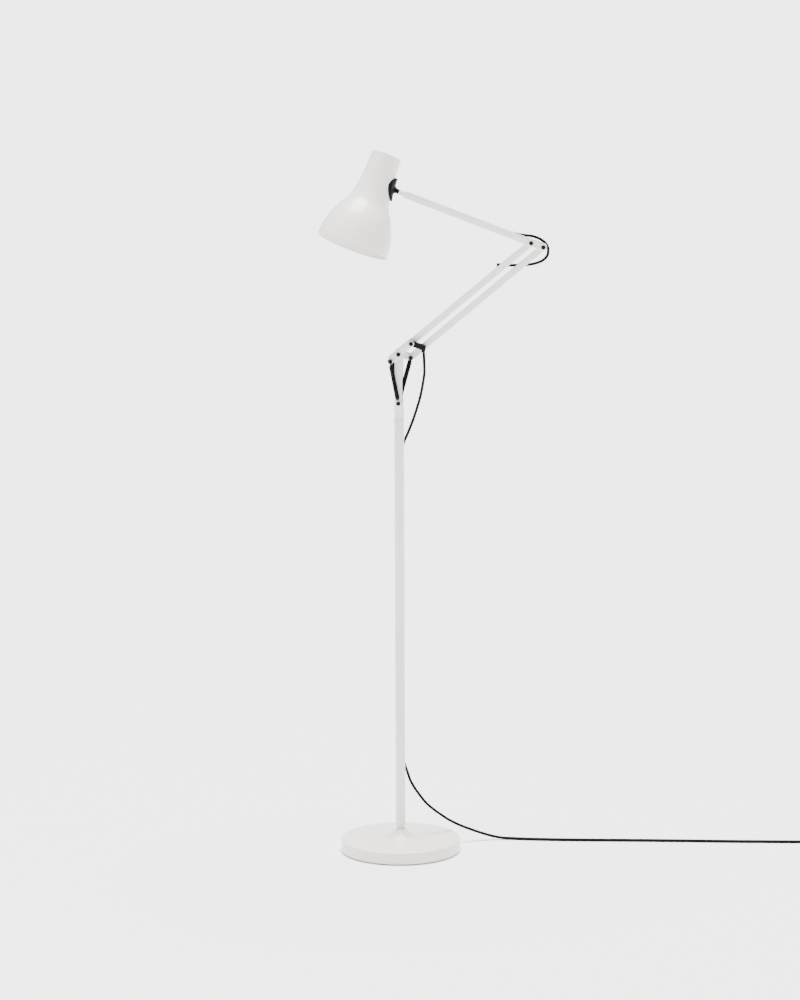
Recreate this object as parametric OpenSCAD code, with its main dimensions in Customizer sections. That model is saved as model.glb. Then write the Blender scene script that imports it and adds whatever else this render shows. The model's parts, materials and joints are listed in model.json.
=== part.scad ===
// Balanced-arm floor lamp: round base, thin pole, swivelling yoke, parallel bars
// with tension springs, upper arm and a bell shade on a roll-and-tilt knuckle.
// Frame: origin on the floor under the pole, +Z up, arms in the XZ plane.

/* [Base] */
// Radius of the base disc
base_r = 117.5; // [95:1:145]
// Height of the base disc over the floor
base_h = 25; // [20:1:32]
// Sheet thickness of the base cover
cover_t = 1.5; // [1:0.1:2.5]
// Radius of the cone where it meets the disc
cone_r = 30; // [22:1:38]
// Height of the pole's foot over the floor
foot_z = 50; // [42:1:62]
// Radius of the neck on which the pole stands
neck_stub_r = 6.8; // [6.2:0.1:8]
// Thickness of the rubber pad under the base
pad_t = 1.5; // [1:0.1:3]
// Radius of the bolt that holds the pole down
pole_bolt_r = 4; // [3:0.5:4.5]

/* [Pole] */
// Length of the pole
pole_len = 820; // [600:10:1000]
// Outer radius of the pole
pole_r = 9.5; // [8:0.1:12]
// Wall of the pole
pole_wall = 1.6; // [1:0.1:2]
// Height of the joint between the two pole tubes
pole_joint_z = 450; // [300:5:560]
// Height of the rear hole where the cable leaves the pole
cable_out_z = 207; // [150:1:260]
// Height of the rear hole where the cable enters the pole
cable_in_z = 785; // [600:1:820]

/* [Turret] */
// Height of the turret over the pole
turret_h = 23; // [16:1:32]
// Radius of the turret's spigot inside the pole
spigot_r = 5.5; // [4.5:0.1:6]
// Length of the turret's spigot
spigot_len = 34; // [24:1:45]
// Height of the shoulder pivot over the turret
yoke_h = 106.5; // [95:0.5:130]
// Width of the yoke strap
yoke_w = 14.6; // [13:0.2:18]
// Height of the spring anchor over the turret
anchor_h = 11; // [9.5:0.5:16]

/* [Bars] */
// Length of both bars, pivot to pivot
bar_len = 337; // [270:1:420]
// Elevation of the bars
bar_angle = 40.2; // [34:0.1:60]
// Width of the bars in the plane of the arm
bar_w = 12; // [10:0.5:14]
// Depth of the bars, front to back
bar_d = 9; // [8:0.5:9]
// Wall of the bars
bar_wall = 1.2; // [1:0.1:1.5]
// Length of the lever between the bars' pivots
lever_len = 25; // [22:0.5:30]
// Angle of the lever, below the horizontal
lever_angle = 19; // [10:0.5:26]
// Distance from the shoulder back to the tail studs
tail_len = 20.5; // [17:0.5:26]
// Distance from the shoulder up to the cheek bolt
cheek_len = 32.5; // [28:0.5:42]

/* [Springs] */
// Outer radius of the springs
spring_r = 4.5; // [3.5:0.1:4.7]
// Radius of the spring wire
wire_r = 0.9; // [0.5:0.05:1]
// Distance from a spring's eye to its first turn
hook_len = 9.5; // [9:0.5:16]

/* [Upper arm] */
// Distance from the elbow to the end of the ferrule
arm_len = 274.5; // [220:0.5:340]
// Elevation of the upper arm
arm_angle = 21; // [12:0.5:30]
// Width of the upper arm in the plane of the arm
arm_w = 13; // [11:0.5:14]
// Depth of the upper arm, front to back
arm_d = 10; // [9:0.5:10]
// Length of the round ferrule
ferrule_len = 10.5; // [8:0.5:15]
// Radius of the round ferrule
ferrule_r = 5.4; // [4.8:0.1:6]

/* [Head] */
// Roll of the head about the upper arm
head_roll = 17; // [0:1:40]
// Length of the shade
shade_len = 187; // [160:1:225]
// Radius of the shade's mouth
shade_r = 72; // [60:1:87]
// Radius of the shade's neck
neck_r = 30; // [27:0.5:34]
// Wall of the shade
shade_wall = 1.2; // [0.8:0.1:2]
// Height of the top of the shade over the knuckle
head_up = 56.5; // [48:0.5:68]
// Distance from the shade's surface to the tilt pin
tilt_out = 7.8; // [7.4:0.2:10]
// Radius of the knuckle's saddle
saddle_r = 22.5; // [17:0.5:25]
// Thickness of the knuckle's saddle
saddle_t = 5.2; // [2.5:0.1:6]
// Radius of the lamp holder
holder_r = 17; // [15:0.5:20]
// Radius of the bulb's globe
bulb_r = 23; // [18:0.5:24]

/* [Cable] */
// Diameter of the cable
cable_d = 5.6; // [5:0.1:5.8]
// Radius of the coil at the middle of its turns
coil_mid_r = 31; // [28:0.5:34]

/* [Plug] */
// Thickness of the plug
plug_t = 13.7; // [12:0.1:16]
// Half the distance between the plug's pins
pin_half = 9.3; // [9:0.1:9.5]
// Radius of the plug's pins
pin_r = 2; // [2:0.1:2.4]
// Length of the plug's pins
pin_len = 19; // [17:0.5:20]

/* [Hidden] */

$fn = 64;
paint = [0.95, 0.94, 0.91];
ink = [0.06, 0.06, 0.065];
steel = [0.62, 0.63, 0.65];
iron = [0.25, 0.25, 0.26];
brass = [0.76, 0.62, 0.35];
resin = [0.9, 0.9, 0.88];
slack = 0.06;          // radial clearance of a running pivot
seat = 0.04;           // radial clearance of a bolt in its own body
gap = 0.3;             // side gap between pieces that turn past each other
over = 1;              // how far a cut runs past a face
bolt_r = 2.5;          // radius of the arm's pivots
cap_r = 4.2;           // radius of the bolt heads and nuts
cap_t = 2.9;           // thickness of the bolt heads and nuts
edge = 2.5;            // rounding of the base's upper edge

// Heights, from the floor up
seam_z = foot_z + pole_len;
swivel_gap = 0.5;
yoke_z = seam_z + swivel_gap + turret_h;
anchor_z = yoke_z + anchor_h;
shoulder_z = yoke_z + yoke_h;

// Layers of the shoulder, outwards from the middle of the lamp
bar_out = bar_d / 2;
lever_in = bar_out + 0.5;
lever_t = 1.2;
lever_out = lever_in + lever_t;
inner_spring_y = lever_out + 0.4 + spring_r;
yoke_in = inner_spring_y + spring_r + gap;
yoke_t = 1.5;
yoke_out = yoke_in + yoke_t;
cheek_in = yoke_out + gap;
cheek_t = 1.2;
cheek_out = cheek_in + cheek_t;
outer_spring_y = cheek_out + 0.4 + spring_r;
stud_out = outer_spring_y + 2;
washer_t = 1.2;

// Pivots in the plane of the arm, as [x, z]
function polar(p, l, a) = [p[0] + l * cos(a), p[1] + l * sin(a)];
shoulder = [0, shoulder_z];
tail = polar(shoulder, -tail_len, bar_angle);
cheek_end = polar(shoulder, cheek_len, bar_angle);
lever_end = polar(shoulder, lever_len, -lever_angle);
elbow = polar(shoulder, bar_len, bar_angle);
linkage = polar(elbow, lever_len, -lever_angle);
anchor = [0, anchor_z];
clip_end = polar(cheek_end, lever_len, -lever_angle);

// Head frame: origin where the arm's axis meets the shade's axis, +X to the arm
function lerp(a, b, t) = a + (b - a) * t;
function spline(a, b, c, d, t) = 0.5 * (2 * b + (c - a) * t + (2 * a - 5 * b + 4 * c - d) * t * t
    + (3 * b - a - 3 * c + d) * t * t * t);
// The shade's outline: share of its length, and share of the way from neck to mouth
outline = [[0, 0], [0.15, 0.01], [0.3, 0.055], [0.42, 0.14], [0.53, 0.29], [0.63, 0.55],
    [0.73, 0.755], [0.86, 0.92], [1, 1]];
outline_steps = 6;
last = len(outline) - 1;
function outline_at(i, t) = spline(outline[max(i - 1, 0)], outline[i], outline[i + 1],
    outline[min(i + 2, last)], t);
shares = [for (i = [0:last - 1], k = [0:outline_steps - 1]) outline_at(i, k / outline_steps),
    outline[last]];
function shade_point(p, out) = [neck_r + (shade_r - neck_r) * p[1] + out, head_up - shade_len * p[0]];
function nearest(z) = [for (p = shares) if (head_up - shade_len * p[0] >= z) p];
function shade_radius(z) = let (p = nearest(z)) shade_point(p[len(p) - 1], 0)[0];
tilt_x = shade_radius(0) + tilt_out;
tongue_r = 4;
stem_face = tilt_x + tongue_r + 0.9;
stem_flange = 1.5;
head_reach = stem_face + stem_flange;
arm_unit = [-cos(arm_angle), sin(arm_angle)];
head_centre = [elbow[0] + (arm_len + head_reach) * arm_unit[0],
    elbow[1] + (arm_len + head_reach) * arm_unit[1]];

// Cable routes, points chosen by hand, in millimetres
drop_upper_path = [[clip_end[0] + 0.5, -11, clip_end[1] - 10.4], [49.5, -11, 995], [50, -10, 981], [50, -7, 961], [47, -2, 941],
    [43, 3.5, 920], [39, 8, 904], [36, 10.5, 894]];
drop_lower_path = [[35.9, 10.6, 893.6], [33, 13, 884], [26, 18, 863], [18, 22, 842], [11, 22.6, 826],
    [7.2, 19.8, 817], [5.3, 16.3, 810.4]];
lead_path = [[5.3, 16.3, 181.6], [6.5, 19.4, 174], [8.8, 23.6, 164.5], [12.5, 27.6, 152], [17.5, 30, 136],
    [25.5, 32, 120], [35, 35, 105], [48, 39, 87], [63, 44, 72], [76, 49, 61], [91, 55, 49],
    [108, 62, 38], [127, 69, 28], [154, 78, 16], [176, 82, 8.5], [196, 84, 4], [218, 84, 2.9],
    [260, 80, 2.8], [318, 78, 2.8], [400, 78, 2.8], [480, 79, 2.8], [560, 79, 2.8],
    [643, 78, 2.8], [725, 79, 2.8], [792, 80, 2.8], [824, 80, 2.8], [848.5, 80, 2.8]];
tail_path = [[891.6, 80, 8.8], [898, 80, 8.3], [910, 80, 7.2], [922, 80, 6.9]];
elbow_upper_path = [[193, 10, 1241.5], [205, 12.5, 1239], [218, 13.5, 1235.5], [231, 13.5, 1232],
    [245, 13.5, 1230],
    [259, 13.5, 1228.5], [273, 13.5, 1223.5], [284, 13.5, 1215.5], [289.5, 13.5, 1206],
    [290, 13.5, 1199]];
elbow_lower_path = [[290, 13.5, 1198.6], [288, 13.5, 1190], [280, 13.5, 1181.5], [268, 13.5, 1176],
    [255, 13.5, 1173], [242, 13.5, 1172], [229, 13, 1171.5], [217, 11.5, 1171.5], [205, 9.5, 1171.5]];
coil_centre = [870, 80 - coil_mid_r - cable_d];
coil_z = 0.8;
coil_in = coil_mid_r - 1.5 * cable_d;
coil_out = coil_mid_r + 1.5 * cable_d;
plug_x = 938;
plug_y = 80;
cable_r = cable_d / 2;

// ---- shared shapes ----

module pin_y(r, y0, y1) {
    translate([0, y0, 0]) rotate([-90, 0, 0]) cylinder(r = r, h = y1 - y0);
}

module at(p) {
    translate([p[0], 0, p[1]]) children();
}

module along(p, a) {
    at(p) rotate([0, -a, 0]) children();
}

module both_sides() {
    children();
    mirror([0, 1, 0]) children();
}

// A flat plate with round ends at x = 0 and x = l, from depth y0 to y0 + t
module strap(l, w, y0, t) {
    translate([0, y0 + t, 0]) rotate([90, 0, 0]) linear_extrude(t) {
        circle(d = w);
        blade(l, w);
    }
}

// Half of such a plate's outline, without the round end at x = 0
module blade(l, w) {
    translate([0, -w / 2]) square([l, w]);
    translate([l, 0]) circle(d = w);
}

// A square tube along x, from x0 to x1
module box_tube(x0, x1, w, d, wall) {
    difference() {
        translate([x0, -d / 2, -w / 2]) cube([x1 - x0, d, w]);
        translate([x0 - over, wall - d / 2, wall - w / 2])
            cube([x1 - x0 + 2 * over, d - 2 * wall, w - 2 * wall]);
    }
}

// A bolt through the lamp with a round head on each end
module through_bolt(r, out) {
    pin_y(r, -out, out);
    both_sides() pin_y(cap_r, out, out + cap_t);
    both_sides() pin_y(cap_r * 0.45, out + cap_t, out + cap_t + 0.5);
}

// The same tube with its upper side open, which leaves a channel
module channel(x0, x1, w, d, wall) {
    difference() {
        box_tube(x0, x1, w, d, wall);
        translate([x0 - over, wall - d / 2, 0]) cube([x1 - x0 + 2 * over, d - 2 * wall, w]);
    }
}

// A solid end block for a bar: eye round x = 0, block to x1, spigot to x2
module bar_end(x1, x2) {
    fit = bar_wall + 0.1;
    difference() {
        union() {
            pin_y(bar_w / 2, -bar_out, bar_out);
            translate([0, -bar_out, -bar_w / 2]) cube([x1, bar_d, bar_w]);
            translate([x1 - over, fit - bar_out, fit - bar_w / 2])
                cube([x2 - x1 + over, bar_d - 2 * fit, bar_w - 2 * fit]);
        }
        pin_y(bolt_r + slack, -bar_out - over, bar_out + over);
    }
}

// A tube of radius r swept along points; it never runs along Y
function unit(v) = v / norm(v);
function heading(p, i) = unit(p[min(i + 1, len(p) - 1)] - p[max(i - 1, 0)]);
function across(t) = unit(cross([0, 1, 0], t));
function ring(c, t, r, n) = let (u = across(t), v = cross(t, u))
    [for (k = [0:n - 1]) c + r * (cos(360 * k / n) * u + sin(360 * k / n) * v)];
function smooth(p, steps) = [for (i = [0:len(p) - 2], k = [0:steps - 1])
    spline(p[max(i - 1, 0)], p[i], p[i + 1], p[min(i + 2, len(p) - 1)], k / steps), p[len(p) - 1]];

module sweep(path, r, n, steps) {
    p = smooth(path, steps);
    m = len(p);
    points = [for (i = [0:m - 1]) each ring(p[i], heading(p, i), r, n)];
    sides = [for (i = [0:m - 2], k = [0:n - 1])
        [i * n + k, (i + 1) * n + k, (i + 1) * n + (k + 1) % n, i * n + (k + 1) % n]];
    caps = [[for (k = [0:n - 1]) k], [for (k = [0:n - 1]) m * n - 1 - k]];
    polyhedron(points, concat(sides, caps), convexity = 6);
}

// ---- base and pole ----

module base_pad() {
    color(ink) cylinder(r = base_r - 4, h = pad_t);
}

inner_r = base_r - cover_t;
weight_top = base_h - cover_t - 0.2;

module base_weight() {
    color(iron) difference() {
        translate([0, 0, pad_t]) cylinder(r = inner_r - 1.4, h = weight_top - pad_t - edge);
        translate([0, 0, -over]) cylinder(r = pole_bolt_r + 0.5, h = base_h);
        translate([0, 0, -over]) cylinder(r = 12, h = pad_t + 7 + over);
    }
}

module base_cover() {
    step = 15;
    top_edge = [for (a = [0:step:90]) [base_r - edge + edge * cos(a), base_h - edge + edge * sin(a)]];
    flare = [[cone_r, base_h], [cone_r - 4, base_h + 2], [neck_stub_r + 8, foot_z - 14],
        [neck_stub_r + 2, foot_z - 7], [neck_stub_r, foot_z - 4], [neck_stub_r, foot_z]];
    lid = base_h - cover_t;
    inside = [[pole_bolt_r + 0.3, foot_z], [pole_bolt_r + 0.3, foot_z - 8],
        [neck_stub_r + 5, foot_z - 15.5], [cone_r - 5, base_h], [cone_r - 2, lid],
        [inner_r - edge, lid], [inner_r, lid - edge], [inner_r, pad_t]];
    color(paint) rotate_extrude($fn = 128)
        polygon(concat([[base_r, pad_t]], top_edge, flare, inside));
}

module pole_bolt() {
    color(steel) {
        translate([0, 0, pad_t + 7]) cylinder(r = pole_bolt_r, h = foot_z + 14 - pad_t);
        translate([0, 0, pad_t + 1]) cylinder(r = 8, h = 6);
    }
}

bore_r = pole_r - pole_wall;

module pole_foot() {
    color(steel) difference() {
        translate([0, 0, foot_z]) cylinder(r = bore_r - seat, h = 32);
        translate([0, 0, foot_z - over]) cylinder(r = pole_bolt_r + seat, h = 32 + 2 * over);
    }
}

boot_tilt = 22;        // the boots' lean from the pole's axis
boot_turn = 72;        // the boots' bearing, from +X towards +Y
boot_len = 27;
hole_r = 4.2;

// Places a child along a boot's axis; up is 1 for the upper boot, -1 for the lower
module at_boot(z, up) {
    translate([0, 0, z]) mirror([0, 0, up < 0 ? 1 : 0])
        rotate([0, 0, boot_turn]) translate([pole_r - 2.6, 0, 0]) rotate([0, boot_tilt, 0]) children();
}

module pole_tube(z0, z1, hole_z, up) {
    color(paint) difference() {
        translate([0, 0, z0]) cylinder(r = pole_r, h = z1 - z0);
        translate([0, 0, z0 - over]) cylinder(r = bore_r, h = z1 - z0 + 2 * over);
        at_boot(hole_z, up) translate([0, 0, -18]) cylinder(r = hole_r, h = 36);
    }
}

module pole_lower() {
    pole_tube(foot_z, pole_joint_z, cable_out_z, -1);
}

module pole_upper() {
    pole_tube(pole_joint_z, seam_z, cable_in_z, 1);
}

module pole_joiner() {
    color(steel) translate([0, 0, pole_joint_z - 45]) difference() {
        cylinder(r = bore_r - seat, h = 90);
        translate([0, 0, -over]) cylinder(r = bore_r - 2, h = 90 + 2 * over);
    }
}

bush_len = spigot_len + 4;

module swivel_bush() {
    color(resin) translate([0, 0, seam_z - bush_len]) difference() {
        cylinder(r = bore_r - seat, h = bush_len);
        translate([0, 0, -over]) cylinder(r = spigot_r + slack, h = bush_len + 2 * over);
    }
}

// A tapered rubber boot; the part inside the pole's hole is a thinner neck
module cable_boot() {
    difference() {
        union() {
            translate([0, 0, 4]) cylinder(r1 = 4.9, r2 = cable_r + 0.5, h = boot_len - 4);
            translate([0, 0, -9]) cylinder(r = hole_r - 0.3, h = 14);
        }
        translate([0, 0, -10]) cylinder(r = cable_r + 0.1, h = 14);
    }
}

module cable_boots() {
    color(ink) {
        difference() {
            at_boot(cable_in_z, 1) cable_boot();
            translate([0, 0, cable_in_z - 40]) cylinder(r = bore_r, h = 80);
            wall_shadow(cable_in_z, 1);
        }
        difference() {
            at_boot(cable_out_z, -1) cable_boot();
            translate([0, 0, cable_out_z - 40]) cylinder(r = bore_r, h = 80);
            wall_shadow(cable_out_z, -1);
        }
    }
}

// The pole's wall round a boot, without its hole
module wall_shadow(z, up) {
    difference() {
        translate([0, 0, z - 40]) cylinder(r = pole_r + 0.02, h = 80);
        at_boot(z, up) translate([0, 0, -18]) cylinder(r = hole_r - 0.05, h = 60);
    }
}

module cable_in_pole() {
    r = cable_r;
    reach = [1.5, 2.5];
    path = [[reach[0], reach[1], cable_in_z - 8], [1, 2, cable_in_z - 22], [0, 0, cable_in_z - 50],
        [0, 0, pole_joint_z + 100], [0, 0, pole_joint_z], [0, 0, pole_joint_z - 100],
        [0, 0, cable_out_z + 50], [1, 2, cable_out_z + 22], [reach[0], reach[1], cable_out_z + 8]];
    color(ink) sweep(path, r, 8, 3);
}

// ---- cable on the floor ----

module floor_lead() {
    color(ink) {
        sweep(lead_path, cable_r, 8, 3);
        sweep(tail_path, cable_r, 8, 2);
    }
}

module lead_coil() {
    color(ink) translate([coil_centre[0], coil_centre[1], coil_z]) rotate_extrude()
        translate([coil_in, 0]) square([3 * cable_d, 2 * cable_d]);
}

module coil_tie() {
    t = 0.7;
    width = 9;
    color(ink) translate([coil_centre[0] - width / 2, coil_centre[1] - coil_out, 0]) difference() {
        translate([0, -t - 0.4, 0]) cube([width, 3 * cable_d + 2 * t + 1, coil_z + 2 * cable_d + t]);
        translate([-over, -0.4, t]) cube([width + 2 * over, 3 * cable_d + 1, coil_z + 2 * cable_d - t]);
    }
}

module plug_body() {
    half = pin_half + 8;
    color(ink) translate([plug_x, plug_y, 0]) {
        linear_extrude(plug_t) polygon([[0, -6], [10, -half + 5], [24, -half], [36, -half],
            [36, half], [24, half], [10, half - 5], [0, 6]]);
        translate([-16, 0, plug_t / 2]) rotate([0, 90, 0]) cylinder(r1 = cable_r + 0.6, r2 = 5.2, h = 16);
    }
}

module plug_pins() {
    color(brass) translate([plug_x + 36, plug_y, plug_t / 2]) for (s = [-1, 1])
        translate([0, s * pin_half, 0]) rotate([0, 90, 0]) cylinder(r = pin_r, h = pin_len);
}

module drop_cable_lower() {
    color(ink) sweep(drop_lower_path, cable_r, 8, 3);
}

module drop_cable_upper() {
    color(ink) sweep(drop_upper_path, cable_r, 8, 3);
}

// ---- turret ----

module turret() {
    color(paint) difference() {
        union() {
            translate([0, 0, seam_z + swivel_gap]) cylinder(r = pole_r, h = turret_h);
            translate([0, 0, seam_z - spigot_len]) cylinder(r = spigot_r, h = spigot_len + over);
        }
        translate([0, 0, yoke_z - 12]) cylinder(r = 2.1, h = 12 + over);
    }
}

module yoke() {
    color(paint) difference() {
        union() {
            both_sides() along(anchor, 90) strap(shoulder_z - anchor_z, yoke_w, yoke_in, yoke_t);
            both_sides() translate([-yoke_w / 2, yoke_in, yoke_z]) cube([yoke_w, yoke_t, anchor_h]);
            translate([-yoke_w / 2, -yoke_out, yoke_z]) cube([yoke_w, 2 * yoke_out, yoke_t]);
        }
        at(shoulder) pin_y(bolt_r + seat, -yoke_out - over, yoke_out + over);
        at(anchor) pin_y(bolt_r + seat, -yoke_out - over, yoke_out + over);
        translate([0, 0, yoke_z - over]) cylinder(r = 2.1, h = yoke_t + 2 * over);
    }
}

module yoke_screw() {
    color(steel) {
        translate([0, 0, yoke_z - 11]) cylinder(r = 2, h = 11 + yoke_t);
        translate([0, 0, yoke_z + yoke_t]) cylinder(r = 3.4, h = 2);
    }
}

module anchor_bolt() {
    color(ink) at(anchor) through_bolt(bolt_r, stud_out + washer_t);
}

module anchor_washers() {
    color(paint) at(anchor) both_sides() difference() {
        pin_y(5.8, stud_out, stud_out + washer_t);
        pin_y(bolt_r + seat, stud_out - over, stud_out + washer_t + over);
    }
}

module shoulder_bolt() {
    color(ink) at(shoulder) through_bolt(bolt_r, cheek_out + gap);
}

module shoulder_spacers() {
    color(steel) at(shoulder) both_sides() difference() {
        pin_y(4.4, lever_out + gap, yoke_in);
        pin_y(bolt_r + seat, lever_out, yoke_in + over);
    }
}

// ---- lower arm: main bar, control bar and lever ----

end_block = 14;
spigot_end = 26;

module main_bar() {
    color(paint) difference() {
        along(shoulder, bar_angle) channel(end_block, bar_len - end_block, bar_w, bar_d, bar_wall);
        at(cheek_end) pin_y(2 + seat, -bar_d, bar_d);
    }
}

module main_bar_ends() {
    color(paint) {
        along(shoulder, bar_angle) bar_end(end_block, spigot_end);
        along(elbow, bar_angle + 180) bar_end(end_block, spigot_end);
    }
}

module shoulder_cheeks() {
    color(paint) both_sides() difference() {
        along(tail, bar_angle) strap(tail_len + cheek_len, bar_w, cheek_in, cheek_t);
        at(tail) pin_y(bolt_r + seat, cheek_in - over, cheek_out + over);
        at(shoulder) pin_y(bolt_r + slack, cheek_in - over, cheek_out + over);
        at(cheek_end) pin_y(2 + seat, cheek_in - over, cheek_out + over);
    }
}

module cheek_bolt() {
    color(ink) at(cheek_end) {
        through_bolt(2, cheek_out);
        pin_y(4, bar_out, cheek_in);
    }
}

module tail_studs() {
    color(ink) at(tail) both_sides() {
        pin_y(bolt_r, cheek_in, stud_out);
        pin_y(cap_r, stud_out, stud_out + cap_t);
        pin_y(cap_r * 0.45, stud_out + cap_t, stud_out + cap_t + 0.5);
    }
}

module cable_clip() {
    clip_w = 10;
    color(ink) difference() {
        union() {
            at(cheek_end) pin_y(4.2, -cheek_in, -bar_out);
            along(cheek_end, -lever_angle) strap(lever_len, clip_w, -16, 10);
            translate([clip_end[0], -11, clip_end[1] - 10]) cylinder(r1 = cable_r + 0.4, r2 = 4.6, h = 10);
        }
        at(cheek_end) pin_y(2 + seat, -cheek_in - over, 0);
    }
}

module cable_in_main_bar() {
    color(ink) along(shoulder, bar_angle) translate([40, 0, 0]) rotate([0, 90, 0])
        cylinder(r = cable_r, h = bar_len - 100);
}

// A small boot on the rear face of a bar, along the way the cable leaves
module grommet(p, dir, face) {
    turn = atan2(dir[1], dir[0]);
    lean = acos(dir[2] / norm(dir));
    color(ink) intersection() {
        translate(p) rotate([0, lean, turn]) translate([0, 0, -14.4]) cylinder(r1 = 5, r2 = cable_r + 0.5, h = 14);
        translate([p[0] - 40, face, p[2] - 40]) cube(80);
    }
}

module bar_grommet() {
    grommet(elbow_lower_path[8], elbow_lower_path[7] - elbow_lower_path[8], bar_out);
}

module arm_grommet() {
    grommet(elbow_upper_path[0], elbow_upper_path[1] - elbow_upper_path[0], arm_d / 2);
}

module elbow_cable_lower() {
    color(ink) sweep(elbow_lower_path, cable_r, 8, 3);
}

module elbow_cable_upper() {
    color(ink) sweep(elbow_upper_path, cable_r, 8, 3);
}

module lever_plates() {
    color(paint) both_sides() difference() {
        along(shoulder, -lever_angle) strap(lever_len, bar_w, lever_in, lever_t);
        at(shoulder) pin_y(bolt_r + slack, lever_in - over, lever_out + over);
        at(lever_end) pin_y(bolt_r + slack, lever_in - over, lever_out + over);
    }
}

module lever_bolt() {
    out = inner_spring_y + wire_r + 0.5;
    color(ink) at(lever_end) {
        pin_y(bolt_r, -out, out);
        both_sides() pin_y(cap_r, out, yoke_in - gap);
    }
}

module control_bar() {
    color(paint) along(lever_end, bar_angle)
        channel(end_block, bar_len - end_block, bar_w, bar_d, bar_wall);
}

module control_bar_ends() {
    color(paint) {
        along(lever_end, bar_angle) bar_end(end_block, spigot_end);
        along(linkage, bar_angle + 180) bar_end(end_block, spigot_end);
    }
}

// ---- elbow and upper arm ----

plate_in = arm_d / 2;
plate_t = 1.5;
plate_out = plate_in + plate_t;
tube_start = 30;
plate_end = 50.5;
ferrule_start = arm_len - ferrule_len;

module elbow_bolt() {
    color(ink) at(elbow) through_bolt(bolt_r, plate_out + gap);
}

module linkage_bolt() {
    color(ink) at(linkage) through_bolt(bolt_r, plate_out);
}

module upper_arm_tube() {
    color(paint) difference() {
        along(elbow, 180 - arm_angle) box_tube(tube_start, ferrule_start, arm_w, arm_d, bar_wall);
        along(elbow, 180 - arm_angle) translate([ferrule_start - 4, 0, 0]) cylinder(r = 2.1, h = arm_w);
    }
}

module elbow_cheeks() {
    color(paint) both_sides() difference() {
        at(elbow) translate([0, plate_out, 0]) rotate([90, 0, 0]) linear_extrude(plate_t) {
            rotate(180 - arm_angle) translate([-6, 0]) blade(plate_end + 6, arm_w);
            rotate(-lever_angle) translate([-6, 0]) blade(lever_len + 6, arm_w);
        }
        at(elbow) pin_y(bolt_r + slack, plate_in - over, plate_out + over);
        at(linkage) pin_y(bolt_r + seat, plate_in - over, plate_out + over);
    }
}

stem_bore = 2.5;

module arm_ferrule() {
    plug_w = arm_w - 2 * bar_wall - 0.2;
    plug_d = arm_d - 2 * bar_wall - 0.2;
    color(paint) along(elbow, 180 - arm_angle) difference() {
        union() {
            translate([ferrule_start, 0, 0]) rotate([0, 90, 0]) cylinder(r = ferrule_r, h = ferrule_len);
            translate([ferrule_start - 24, -plug_d / 2, -plug_w / 2]) cube([24 + over, plug_d, plug_w]);
        }
        translate([ferrule_start - 30, 0, 0]) rotate([0, 90, 0]) cylinder(r = stem_bore + slack, h = ferrule_len + 40);
        translate([ferrule_start - 4, 0, 0]) cylinder(r = 2.1, h = arm_w);
    }
}

module grub_screw() {
    color(ink) along(elbow, 180 - arm_angle) translate([ferrule_start - 4, 0, stem_bore + 0.3])
        cylinder(r = 2, h = arm_w / 2 - stem_bore + 0.7);
}

module cable_in_upper_arm() {
    color(ink) along(elbow, 180 - arm_angle) translate([plate_end + 6, 0, 0]) rotate([0, 90, 0])
        cylinder(r = cable_r, h = ferrule_start - plate_end - 42);
}

// ---- springs ----

// A ring round the Y axis with a straight shank to a cone that ends at hook_len
module spring_hook() {
    rotate([90, 0, 0]) rotate_extrude() translate([bolt_r + wire_r + 0.25, 0]) circle(r = wire_r, $fn = 16);
    start = bolt_r + 2 * wire_r + 0.2;
    translate([start, 0, 0]) rotate([0, 90, 0]) cylinder(r = wire_r, h = hook_len - 4 - start);
    translate([hook_len - 5, 0, 0]) rotate([0, 90, 0]) cylinder(r1 = wire_r + 0.3, r2 = spring_r - 0.5, h = 5);
}

function slope(p, q) = atan2(q[1] - p[1], q[0] - p[0]);
function span(p, q) = norm(q - p);

module spring_coil(p, q, y) {
    color(ink) both_sides() translate([0, y, 0]) along(p, slope(p, q)) {
        spring_hook();
        translate([hook_len, 0, 0]) rotate([0, 90, 0]) difference() {
            cylinder(r = spring_r, h = span(p, q) - 2 * hook_len);
            translate([0, 0, over]) cylinder(r = spring_r - 2 * wire_r, h = span(p, q));
        }
    }
}

module spring_far_hook(p, q, y) {
    color(ink) both_sides() translate([0, y, 0]) along(q, slope(q, p)) spring_hook();
}

module left_springs() {
    spring_coil(anchor, tail, outer_spring_y);
}

module left_spring_hooks() {
    spring_far_hook(anchor, tail, outer_spring_y);
}

module right_springs() {
    spring_coil(lever_end, anchor, inner_spring_y);
}

module right_spring_hooks() {
    spring_far_hook(lever_end, anchor, inner_spring_y);
}

// ---- head ----

module in_head() {
    at(head_centre) rotate([0, arm_angle, 0]) rotate([-head_roll, 0, 0]) children();
}

module lathe_x(r1, r2, x0, x1) {
    translate([x0, 0, 0]) rotate([0, 90, 0]) cylinder(r1 = r1, r2 = r2, h = x1 - x0);
}

module knuckle_stem() {
    color(ink) in_head() difference() {
        union() {
            translate([tilt_x, 0, 0]) pin_y(tongue_r, -2, 2);
            translate([tilt_x, -2, -tongue_r]) cube([stem_face - tilt_x + over, 4, 2 * tongue_r]);
            lathe_x(ferrule_r, ferrule_r, stem_face, head_reach);
            lathe_x(stem_bore, stem_bore, head_reach - over, head_reach + ferrule_len + 22);
        }
        translate([tilt_x, 0, 0]) pin_y(1.5 + slack, -3, 3);
    }
}

module tilt_pin() {
    color(steel) in_head() translate([tilt_x, 0, 0]) pin_y(1.5, -6.4, 6.4);
}

// The shade's outer body, grown outwards by a distance
module shade_solid(out) {
    rotate_extrude($fn = 96) polygon(concat([[0, head_up]], [for (p = shares) shade_point(p, out)],
        [[0, head_up - shade_len]]));
}

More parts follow.
